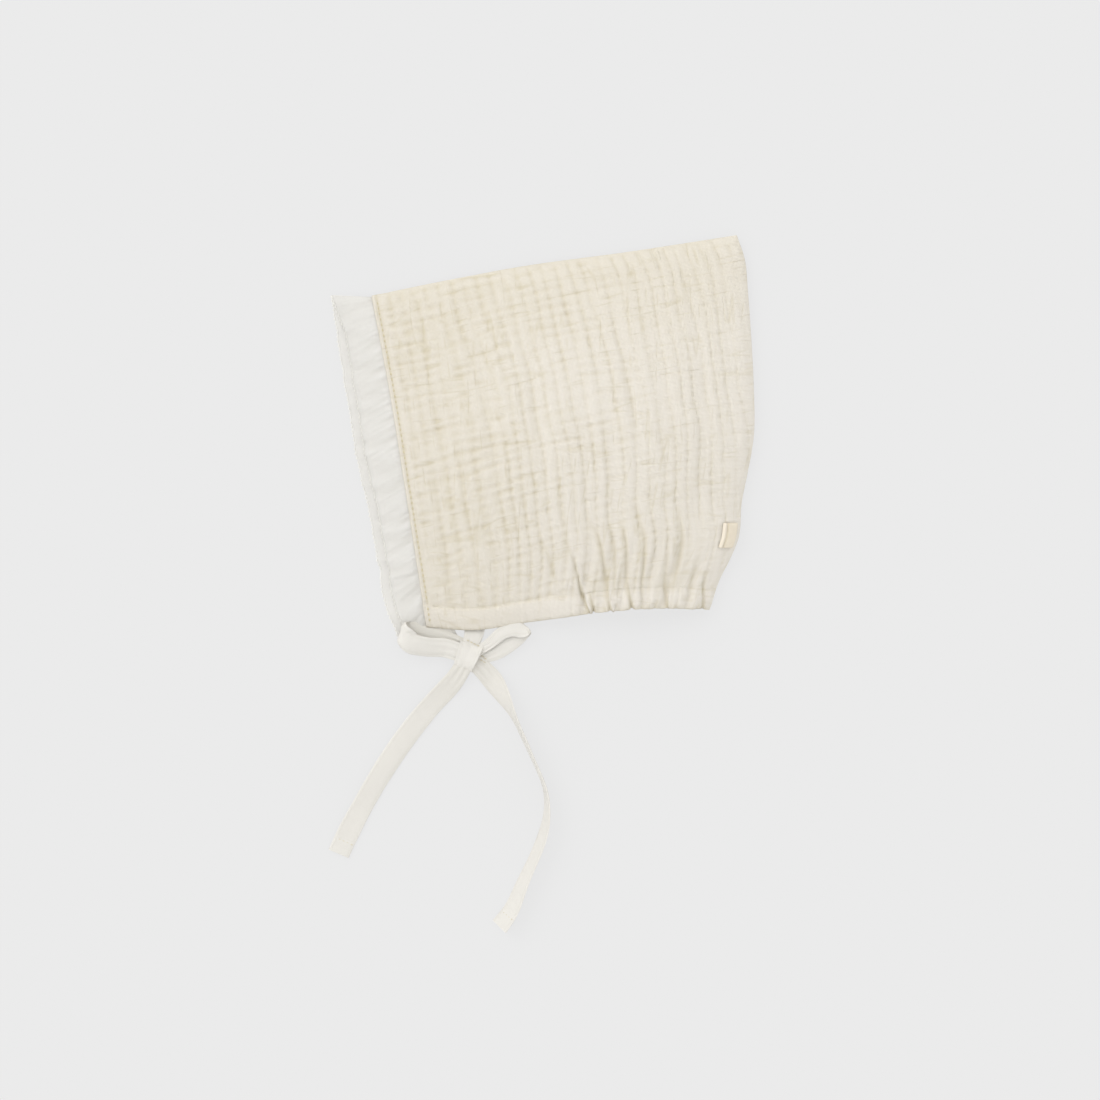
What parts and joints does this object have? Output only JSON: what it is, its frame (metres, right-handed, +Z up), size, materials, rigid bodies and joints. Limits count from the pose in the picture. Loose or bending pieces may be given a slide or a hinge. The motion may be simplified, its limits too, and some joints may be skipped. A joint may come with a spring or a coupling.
{
  "type": "baby bonnet",
  "caption": "Baby bonnet of cream crinkled double gauze lying on its side, with a white frill round the face, a gathered neck casing and tape ties tied in a bow",
  "frame": {"origin": "on the table, under the middle of the whole bonnet with its ties", "axes": "+Z up from the table; +Y along the table towards the crown fold, the bonnet's ties towards -Y; +X towards the back seam, the face opening towards -X"},
  "size_m": [0.1952, 0.3196, 0.0234],
  "materials": {
    "gauze": "cream crinkled cotton double gauze, matt",
    "frill": "white cotton lawn, matt, with a picot edge",
    "tape": "ivory folded cotton tape, matt",
    "label": "bare woven cotton label, beige"
  },
  "bodies": {
    "root": {"hood_gauze": "gauze", "neck_casing": "gauze", "face_frill": "frill", "back_label": "label", "near_tie": "tape", "far_tie": "tape", "bow_loop_left": "tape", "bow_loop_right": "tape", "bow_knot": "tape", "tie_tail_left": "tape", "tie_tail_right": "tape"}
  },
  "joints": []
}
